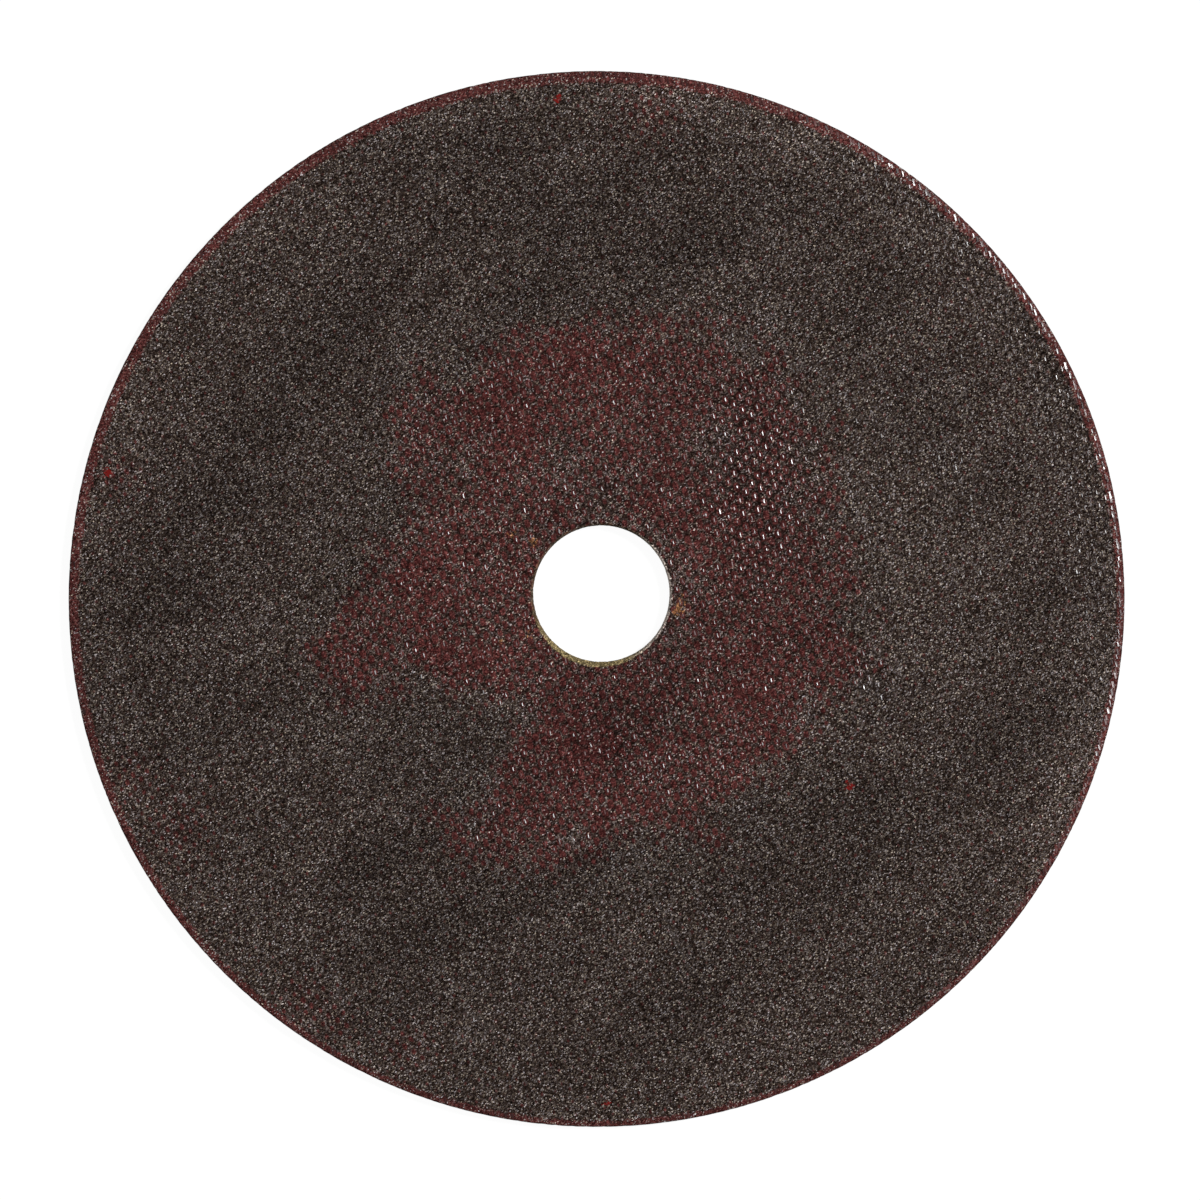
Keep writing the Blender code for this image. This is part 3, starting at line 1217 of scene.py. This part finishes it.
def scaled(tree, vector, factor):
    """A vector or colour times a number."""
    made = node(tree, "VectorMath", {0: vector, "Scale": factor}, operation="SCALE")
    return made.outputs["Vector"]


def step(tree, value, low, high):
    """0 below low, 1 above high, and a smooth rise between."""
    inputs = {"Value": value, "From Min": low, "From Max": high}
    return node(tree, "MapRange", inputs, interpolation_type="SMOOTHSTEP").outputs[0]


def blend(tree, share, first, second):
    """A number or colour that goes from first to second as share goes from 0 to 1."""
    made = node(tree, "Mix", data_type="RGBA")
    for socket, value in zip((0, 6, 7), (share, first, second)):
        if isinstance(value, bpy.types.NodeSocket):
            tree.links.new(value, made.inputs[socket])
        elif socket:
            made.inputs[socket].default_value = (*value, 1.0)
        else:
            made.inputs[socket].default_value = value
    return made.outputs[2]


def noise(tree, place, scale, detail=2.0, roughness=0.5):
    """Soft noise from 0 to 1 at a place, with this many waves to a millimetre."""
    inputs = {"Vector": place, "Scale": scale, "Detail": detail, "Roughness": roughness}
    return node(tree, "TexNoise", inputs).outputs["Fac"]


def mark(tree, name):
    """A number that the mesh carries under this name."""
    return node(tree, "Attribute", attribute_name=name).outputs["Fac"]


def new_group(name, inputs, outputs):
    """An empty node group with these sockets. Returns its tree, its inputs' ends and its outputs' ends.

    inputs gives each socket's kind by its name, and every output is a number.
    """
    tree = bpy.data.node_groups.new(name, "ShaderNodeTree")
    for socket, kind in inputs.items():
        tree.interface.new_socket(socket, in_out="INPUT", socket_type="NodeSocket" + kind)
    for socket in outputs:
        tree.interface.new_socket(socket, in_out="OUTPUT", socket_type="NodeSocketFloat")
    return tree, tree.nodes.new("NodeGroupInput").outputs, tree.nodes.new("NodeGroupOutput").inputs


def place_group(tree, group, inputs):
    """Put a group into a tree with its own values, and return its outputs."""
    made = tree.nodes.new("ShaderNodeGroup")
    made.node_tree = group
    for key, value in inputs.items():
        if isinstance(value, bpy.types.NodeSocket):
            tree.links.new(value, made.inputs[key])
        else:
            made.inputs[key].default_value = value
    return made.outputs


def millimetres(tree):
    """The place on the piece, in millimetres."""
    return scaled(tree, node(tree, "TexCoord").outputs["Object"], 1 / MM)


def cloth_group():
    """The pressed cloth, finer than the mesh holds it, from the counts of its yarns.

    Knuckle is the height of the warp, as in knuckles(). Chance is one random number to a knuckle,
    which is told apart by the count of its warp yarn and by the weft yarn that it passes over.
    """
    tree, given, out = new_group("pressed_cloth", {"Warp": "Float", "Weft": "Float"}, ("Knuckle", "Chance"))
    warp_cos = calc(tree, "COSINE", calc(tree, "MULTIPLY", given["Warp"], math.pi))
    weft_cos = calc(tree, "COSINE", calc(tree, "MULTIPLY", given["Weft"], math.pi))
    crossing = calc(tree, "MULTIPLY", warp_cos, weft_cos)
    knuckle = calc(tree, "ADD", calc(tree, "ABSOLUTE", warp_cos), crossing)
    tree.links.new(calc(tree, "MULTIPLY", knuckle, 0.5), out["Knuckle"])
    warp = calc(tree, "ROUND", given["Warp"])
    odd = calc(tree, "PINGPONG", warp, 1.0)
    pair = calc(tree, "ROUND", calc(tree, "MULTIPLY", calc(tree, "SUBTRACT", given["Weft"], odd), 0.5))
    cell = node(tree, "CombineXYZ", {"X": warp, "Y": pair}).outputs[0]
    tree.links.new(node(tree, "TexWhiteNoise", {"Vector": cell}).outputs["Value"], out["Chance"])
    return tree


def grit_group():
    """Pressed grit of one size: each cell is one grain, a flat facet tilted at random.

    Height is the cell's own slope times the distance from its middle, less a dome. Seam is 1 in the
    gaps between grains, which the face darkens as painted shade. Shade, Second Shade and Tint are random
    numbers, one each to a grain.
    """
    outputs = ("Height", "Seam", "Shade", "Second Shade", "Tint")
    tree, given, out = new_group("pressed_grit", {"Place": "Vector", "Grains per mm": "Float"}, outputs)
    cells = node(tree, "TexVoronoi", {"Vector": given["Place"], "Scale": given["Grains per mm"]})
    slope = vector_calc(tree, "SUBTRACT", (0.5, 0.5, 0.5), cells.outputs["Color"])
    offset = vector_calc(tree, "SUBTRACT", given["Place"], cells.outputs["Position"])
    tilt = vector_calc(tree, "DOT_PRODUCT", offset, slope, output="Value")
    distance = cells.outputs["Distance"]
    dome = calc(tree, "MULTIPLY", distance, calc(tree, "DIVIDE", -GRIT_DOME, given["Grains per mm"]))
    tree.links.new(calc(tree, "MULTIPLY_ADD", tilt, GRIT_TILT, dome), out["Height"])
    tree.links.new(step(tree, distance, *GRIT_SEAMS), out["Seam"])
    parts = node(tree, "SeparateColor", {"Color": cells.outputs["Color"]})
    tree.links.new(parts.outputs["Red"], out["Shade"])
    tree.links.new(parts.outputs["Blue"], out["Second Shade"])
    tree.links.new(parts.outputs["Green"], out["Tint"])
    return tree


def resin_group():
    """Where red resin shows: on the knuckles first, along the deeper cloth's yarns, and at random.

    Cover is 1 on resin.
    """
    inputs = {"Place": "Vector", "Redness": "Float", "Knuckle": "Float"}
    tree, given, out = new_group("red_resin", inputs, ("Cover",))
    waves = []
    for runs, pitch in zip(NET_RUNS, NET_PITCHES):
        x, y = direction(runs - 90) / pitch
        lines = vector_calc(tree, "DOT_PRODUCT", given["Place"], (x, y, 0.0), output="Value")
        waves.append(calc(tree, "COSINE", calc(tree, "MULTIPLY", lines, FULL_TURN)))
    total = calc(tree, "MULTIPLY_ADD", calc(tree, "ADD", *waves), RESIN_ON_NET, given["Redness"])
    total = calc(tree, "MULTIPLY_ADD", given["Knuckle"], RESIN_ON_KNUCKLE, total)
    total = calc(tree, "MULTIPLY_ADD", noise(tree, given["Place"], *RESIN_NOISE), RESIN_BY_NOISE, total)
    tree.links.new(step(tree, total, *RESIN_COVERS), out["Cover"])
    return tree


def line_group():
    """A rubbed line: Mark is 1 within Width of the straight line between Start and End."""
    inputs = {"Place": "Vector", "Start": "Vector", "End": "Vector", "Width": "Float"}
    tree, given, out = new_group("rubbed_line", inputs, ("Mark",))
    run = vector_calc(tree, "SUBTRACT", given["End"], given["Start"])
    offset = vector_calc(tree, "SUBTRACT", given["Place"], given["Start"])
    along = vector_calc(tree, "DOT_PRODUCT", offset, run, output="Value")
    length = vector_calc(tree, "DOT_PRODUCT", run, run, output="Value")
    share = calc(tree, "DIVIDE", along, length, clamp=True)
    away = vector_calc(tree, "DISTANCE", offset, scaled(tree, run, share), output="Value")
    tree.links.new(step(tree, away, given["Width"], 0.0), out["Mark"])
    return tree


def ragged_group():
    """Cover is 1 where Depth, in millimetres, is more than nothing, with a border made ragged by Noise."""
    inputs = {"Depth": "Float", "Noise": "Float", "Reach": "Float", "Softness": "Float"}
    tree, given, out = new_group("ragged_cover", inputs, ("Cover",))
    shift = calc(tree, "MULTIPLY", calc(tree, "SUBTRACT", given["Noise"], 0.5), given["Reach"])
    depth = calc(tree, "ADD", given["Depth"], shift)
    low = calc(tree, "MULTIPLY", given["Softness"], -1.0)
    tree.links.new(step(tree, depth, low, given["Softness"]), out["Cover"])
    return tree


def new_material(name, specular):
    """A material with its tree and its Principled shader, which has this specular level."""
    material = bpy.data.materials.new(name)
    material.use_nodes = True
    shader = material.node_tree.nodes["Principled BSDF"]
    shader.inputs["Specular IOR Level"].default_value = specular
    return material, material.node_tree, shader


def lightness(tree, coarse, fine, spread_coarse, spread_fine):
    """A factor that varies from grain to grain and with the tone of the place.

    It is e to the power of the tone and two random numbers, each less its middle and times its spread.
    """
    total = calc(tree, "MULTIPLY_ADD", coarse, spread_coarse, -0.5 * (spread_coarse + spread_fine))
    total = calc(tree, "MULTIPLY_ADD", fine, spread_fine, total)
    return calc(tree, "EXPONENT", calc(tree, "ADD", total, mark(tree, "tone")))


def grain_and_sparkle_tint(tree, shade):
    """Brown for dark grains, going over to grey for pale ones, whose grey is partly painted sparkle."""
    return blend(tree, step(tree, shade, *GREY_BETWEEN), BROWN_GRAIN, GREY_GRAIN_AND_SPARKLE)


def next_chance(tree, chance, factor):
    """Another chance number from 0 to 1, made from one: what is behind the point of it times a factor."""
    return calc(tree, "FRACT", calc(tree, "MULTIPLY", chance, factor))


def drawn_out(tree, place):
    """The place shortened along GRIT_RUNS, so that grit placed by it is longer that way."""
    lie = (*direction(GRIT_RUNS), 0.0)
    along = vector_calc(tree, "DOT_PRODUCT", place, lie, output="Value")
    squeeze = scaled(tree, lie, calc(tree, "MULTIPLY", along, -GRIT_SQUEEZE))
    return vector_calc(tree, "ADD", place, squeeze)


def rubbed_marks(tree, line, place, speckle, colour):
    """A colour with the rubbed marks of the front over it, broken up by the speckle."""
    level = SIZES["thickness"] - GRAIN_HEADROOM
    for start, end, width, strength in SCRATCHES:
        inputs = {"Place": place, "Start": (*start, level), "End": (*end, level), "Width": width}
        rubbed = calc(tree, "MULTIPLY", place_group(tree, line, inputs)["Mark"], strength)
        rubbed = calc(tree, "MULTIPLY", rubbed, step(tree, speckle, *RUBBED_SPECKS))
        colour = blend(tree, rubbed, colour, RUBBED)
    return colour


def pressed_relief(tree, coarse, fine, weave, glaze):
    """The normal over grit and seams, which the glaze flattens, on top of the knuckles."""
    height = calc(tree, "MULTIPLY", fine["Height"], FINE_RELIEF)
    height = calc(tree, "MULTIPLY_ADD", coarse["Height"], COARSE_RELIEF, height)
    height = calc(tree, "MULTIPLY_ADD", coarse["Seam"], -SEAM_DEPTH, height)
    height = calc(tree, "MULTIPLY", height, calc(tree, "MULTIPLY_ADD", glaze, -GLAZE_FLATTENS, 1.0))
    lift = calc(tree, "MULTIPLY", mark(tree, "cloth"), KNUCKLE_BUMP)
    height = calc(tree, "MULTIPLY_ADD", weave["Knuckle"], lift, height)
    return node(tree, "Bump", {"Height": height, "Distance": MM}).outputs["Normal"]


def raw_cloth_and_painted_light(tree, place):
    """The raw cloth's colour, and how much of it shows.

    It is painted palest to the right of the bore, a painted glint on the lip, and it shows most at the
    bottom, painted light on the lit side of the lip, and little at the top and the left.
    """
    where = node(tree, "SeparateXYZ", {"Vector": place}).outputs
    pale = step(tree, where["X"], *PAINTED_GLINT_BETWEEN)
    shows = calc(tree, "MAXIMUM", step(tree, where["Y"], *RAW_CLOTH_LIT_BETWEEN), pale)
    least, most = RAW_CLOTH_SHOWS
    return blend(tree, pale, RAW_CLOTH, PAINTED_GLINT_CLOTH), calc(tree, "MULTIPLY_ADD", shows, most - least, least)


def pressed_face_material(cloth, grit, resin, line, ragged):
    """The pressed surface: grit of two sizes, red resin on the cloth's knuckles, rim, bore and marks."""
    material, tree, shader = new_material("pressed_grain_and_resin", PRESSED_SPECULAR)
    place = millimetres(tree)
    weave = place_group(tree, cloth, {"Warp": mark(tree, "warp"), "Weft": mark(tree, "weft")})
    drawn = drawn_out(tree, place)
    coarse = place_group(tree, grit, {"Place": drawn, "Grains per mm": COARSE_GRIT})
    fine = place_group(tree, grit, {"Place": drawn, "Grains per mm": FINE_GRIT})
    speckle = noise(tree, place, SPECKLE_WAVES)

    def cover(depth):
        reach, softness = BORDERS[depth]
        inputs = {"Depth": mark(tree, depth), "Noise": speckle, "Reach": reach, "Softness": softness}
        return place_group(tree, ragged, inputs)["Cover"]

    # The grit: a grain's shade is the mean of two random numbers, so very dark and very pale ones are
    # rare
    shade = calc(tree, "MULTIPLY", calc(tree, "ADD", fine["Shade"], fine["Second Shade"]), 0.5)
    tint = grain_and_sparkle_tint(tree, shade)
    tint = vector_calc(tree, "MULTIPLY", tint, blend(tree, fine["Tint"], YELLOW_CAST, BLUE_CAST))
    light = lightness(tree, coarse["Shade"], shade, COARSE_SPREAD, FINE_SPREAD)
    # Painted shade: the seams of the coarse grit are darker, as if shade lay in the pits between grains
    seams = calc(tree, "MULTIPLY_ADD", coarse["Seam"], -PAINTED_SEAM_SHADE, 1.0)
    colour = scaled(tree, tint, calc(tree, "MULTIPLY", calc(tree, "MULTIPLY", light, seams), GRAIN_LEVEL))

    # Red resin, which the palest grains break through. A thin film of it lies on the whole red zone.
    red = place_group(
        tree, resin, {"Place": place, "Redness": mark(tree, "redness"), "Knuckle": weave["Knuckle"]}
    )
    light = lightness(tree, coarse["Shade"], shade, *COVER_SPREADS)
    film = calc(tree, "MULTIPLY", step(tree, mark(tree, "redness"), *FILM_COVERS), RESIN_FILM)
    hides = calc(tree, "MULTIPLY", step(tree, shade, *GRAIN_BREAKS_RESIN), RESIN_HIDES)
    covered = calc(tree, "MAXIMUM", calc(tree, "MULTIPLY", red["Cover"], hides), film)
    colour = blend(tree, covered, colour, scaled(tree, RESIN_RED, light))

    # Painted shade: it is dark between the knuckles, the more the cloth stands out
    deep = calc(tree, "MULTIPLY", mark(tree, "cloth"), mark(tree, "cloth"))
    deep = calc(tree, "MULTIPLY", step(tree, weave["Knuckle"], *HOLLOW_SHADE_HEIGHTS), deep)
    colour = scaled(tree, colour, calc(tree, "MULTIPLY_ADD", deep, -PAINTED_HOLLOW_SHADE, 1.0))

    # The bare resin of the rim, the raw edge of the bore with its painted light at the bottom and its
    # painted glint at the right, and the specks
    # The pale grains that break through the rim's resin are partly painted glints
    rim = calc(tree, "MULTIPLY", cover("rim_depth"), step(tree, shade, *GRAINS_AND_GLINTS_IN_RIM))
    colour = blend(tree, calc(tree, "MULTIPLY", rim, RIM_HIDES), colour, scaled(tree, RIM_RESIN, light))
    cloth_colour, shows = raw_cloth_and_painted_light(tree, place)
    raw = calc(tree, "MULTIPLY", cover("raw_and_lit_depth"), shows)
    colour = blend(tree, raw, colour, scaled(tree, cloth_colour, light))
    tan = calc(tree, "MULTIPLY", cover("tan_depth"), TAN_HIDES)
    colour = blend(tree, tan, colour, scaled(tree, TAN_CLOTH, light))
    colour = blend(tree, cover("crimson_depth"), colour, CRIMSON)

    colour = rubbed_marks(tree, line, place, speckle, colour)
    tree.links.new(colour, shader.inputs["Base Color"])

    # Resin on a knuckle is glazed, and the glaze differs from knuckle to knuckle
    top = calc(tree, "MULTIPLY", red["Cover"], step(tree, weave["Knuckle"], *GLAZED_HEIGHTS))
    glaze = calc(tree, "MULTIPLY", top, step(tree, weave["Chance"], *GLAZED_CHANCES))
    rough = calc(tree, "MULTIPLY_ADD", glaze, -GLAZE_SMOOTHS, PRESSED_ROUGHNESS)
    tree.links.new(rough, shader.inputs["Roughness"])
    tree.links.new(pressed_relief(tree, coarse, fine, weave, glaze), shader.inputs["Normal"])
    return material


def grain_material(resin):
    """Single grains: each has one shade, from black through brown and grey to a few pale ones, which are
    partly painted glints.
    """
    material, tree, shader = new_material("single_grains", GLOSSY_SPECULAR)
    shade = mark(tree, "shade")
    other = next_chance(tree, shade, 13.7)
    light = lightness(tree, shade, other, *GRAIN_SPREADS)
    colour = scaled(tree, grain_and_sparkle_tint(tree, shade), calc(tree, "MULTIPLY", light, GRAIN_LEVEL))
    inputs = {"Place": millimetres(tree), "Redness": mark(tree, "redness"), "Knuckle": mark(tree, "knuckle")}
    red = place_group(tree, resin, inputs)["Cover"]
    red = calc(tree, "MULTIPLY", red, step(tree, other, *GRAIN_IN_RESIN))
    colour = blend(tree, red, colour, RESIN_RED)
    # The raw cloth's band carries painted light: it is wider at the bottom of the bore, where the lip is lit
    covers = (
        ("rim_depth", step(tree, other, *GRAIN_IN_RIM), RIM_RESIN),
        ("raw_and_lit_depth", RAW_ON_GRAIN, RAW_CLOTH),
        ("tan_depth", TAN_ON_GRAIN, TAN_CLOTH),
    )
    for depth, hides, cover_colour in covers:
        share = calc(tree, "MULTIPLY", step(tree, mark(tree, depth), *GRAIN_BORDER), hides)
        colour = blend(tree, share, colour, cover_colour)
    tree.links.new(colour, shader.inputs["Base Color"])
    gloss = next_chance(tree, shade, 7.3)
    rough = calc(tree, "MULTIPLY_ADD", gloss, -GRAIN_GLOSS, GRAIN_ROUGHNESS)
    tree.links.new(rough, shader.inputs["Roughness"])
    return material


def cap_material():
    """Glazed resin: red in the red zone and at the rim, dull elsewhere, and smoothest where cloth shows."""
    material, tree, shader = new_material("glazed_resin", GLOSSY_SPECULAR)
    shade = mark(tree, "shade")
    red = calc(tree, "MAXIMUM", mark(tree, "redness"), mark(tree, "rim_depth"))
    red = step(tree, red, *CAP_RED_BETWEEN)
    light = calc(tree, "EXPONENT", calc(tree, "MULTIPLY_ADD", shade, CAP_SHADES, -CAP_SHADES / 2))
    tree.links.new(scaled(tree, blend(tree, red, DULL_RESIN, RESIN_RED), light), shader.inputs["Base Color"])
    dull = calc(tree, "MULTIPLY_ADD", shade, CAP_DULL_SPREAD, CAP_DULL_LEAST)
    dull = calc(tree, "MULTIPLY", dull, calc(tree, "SUBTRACT", CAP_SMOOTH_CLOTH, mark(tree, "cloth")))
    dull = calc(tree, "MULTIPLY", dull, step(tree, mark(tree, "rim_depth"), *CAP_SMOOTH_RIM))
    tree.links.new(calc(tree, "ADD", dull, CAP_ROUGHNESS), shader.inputs["Roughness"])
    return material


def make_floor():
    """A large pale floor at the back face: a flat disc, then a quarter circle outwards and up all round.

    Seen directly or in a gloss it is white, and it keeps the wheel's shadow.
    """
    profile = [
        (FLOOR_REACH + FLOOR_SWEEP * math.sin(turn), FLOOR_SWEEP * (1 - math.cos(turn)))
        for turn in np.linspace(0, math.pi / 2, FLOOR_STEPS + 1)
    ]
    rings, _ = ring(profile, FLOOR_CORNERS, np.zeros(2))
    faces = [list(range(FLOOR_CORNERS)), *ring_quads(0, len(profile), FLOOR_CORNERS).tolist()]
    mesh = bpy.data.meshes.new("floor")
    mesh.from_pydata((rings.reshape(-1, 3) * MM).tolist(), [], faces)
    floor = bpy.data.objects.new("floor", mesh)
    bpy.context.scene.collection.objects.link(floor)
    material = bpy.data.materials.new("pale_floor")
    material.use_nodes = True
    tree = material.node_tree
    tree.nodes.remove(tree.nodes["Principled BSDF"])
    path = node(tree, "LightPath").outputs
    seen = calc(tree, "ADD", path["Is Camera Ray"], path["Is Glossy Ray"])
    seen = calc(tree, "ADD", seen, path["Is Transmission Ray"], clamp=True)
    paper = node(tree, "BsdfDiffuse", {"Color": (FLOOR_PAPER, FLOOR_PAPER, FLOOR_PAPER, 1.0)})
    glow = node(tree, "Emission", {"Strength": calc(tree, "MULTIPLY", seen, FLOOR_GLOW)})
    both = node(tree, "AddShader", {0: paper.outputs[0], 1: glow.outputs[0]})
    tree.links.new(both.outputs[0], tree.nodes["Material Output"].inputs["Surface"])
    mesh.materials.append(material)


def make_light():
    """A plain studio: an even white world, and one round lamp from the right and a little above."""
    world = bpy.data.worlds.new("studio")
    bpy.context.scene.world = world
    world.use_nodes = True
    background = world.node_tree.nodes["Background"]
    background.inputs["Color"].default_value = (1.0, 1.0, 1.0, 1.0)
    background.inputs["Strength"].default_value = WORLD_LEVEL

    lamp = bpy.data.lights.new("key", "AREA")
    lamp.shape = "DISK"
    lamp.size = KEY_SIZE
    tilt = math.radians(KEY_FROM_OVERHEAD)
    around = direction(KEY_COMES_FROM) * math.sin(tilt)
    # A lamp of P watts lights a face square on, at distance d, with P / (pi d)^2 of white
    lamp.energy = (1 - WORLD_LEVEL) * (math.pi * KEY_DISTANCE) ** 2 / math.cos(tilt)
    key = bpy.data.objects.new("key", lamp)
    key.location = np.array([*around, math.cos(tilt)]) * KEY_DISTANCE
    key.rotation_euler = (tilt, 0.0, math.radians(KEY_COMES_FROM + 90))
    bpy.context.scene.collection.objects.link(key)


def make_camera():
    """A camera straight above, placed so that the rim falls where the photograph has it."""
    scale = SIZES["rim"] / RIM_RADIUS_PIXELS
    camera = bpy.data.cameras.new("camera")
    camera.lens = LENS
    camera.sensor_width = SENSOR
    camera.clip_start = NEAREST_SEEN
    widest = SIZES["thickness"] - SIZES["drop"]
    above = scale * PHOTO_WIDTH * LENS / SENSOR
    middle = PHOTO_WIDTH / 2
    eye = bpy.data.objects.new("camera", camera)
    eye.location = (
        (middle - RIM_CENTRE_PIXEL[0]) * scale * MM,
        (RIM_CENTRE_PIXEL[1] - middle) * scale * MM,
        (widest + above) * MM,
    )
    bpy.context.scene.collection.objects.link(eye)
    bpy.context.scene.camera = eye


def main():
    """Make every piece, dress it, and tie it to the frame."""
    resin = resin_group()
    face = pressed_face_material(cloth_group(), grit_group(), resin, line_group(), ragged_group())
    grain = grain_material(resin)
    glaze = cap_material()
    pieces = [
        (wheel_half("wheel_front", 1), face),
        (wheel_half("wheel_back", -1), face),
        (face_grains("grain_front", 1, 31), grain),
        (face_grains("grain_back", -1, 32), grain),
        (edge_grains("grain_edge", 33), grain),
        (resin_caps("resin_front", 1, 34), glaze),
        (resin_caps("resin_back", -1, 35), glaze),
    ]
    for piece, material in pieces:
        piece.data.materials.append(material)
        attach(piece, "root")
        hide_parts("wheel")
    make_floor()
    make_light()
    make_camera()
    bpy.context.scene.view_settings.view_transform = "Standard"


main()
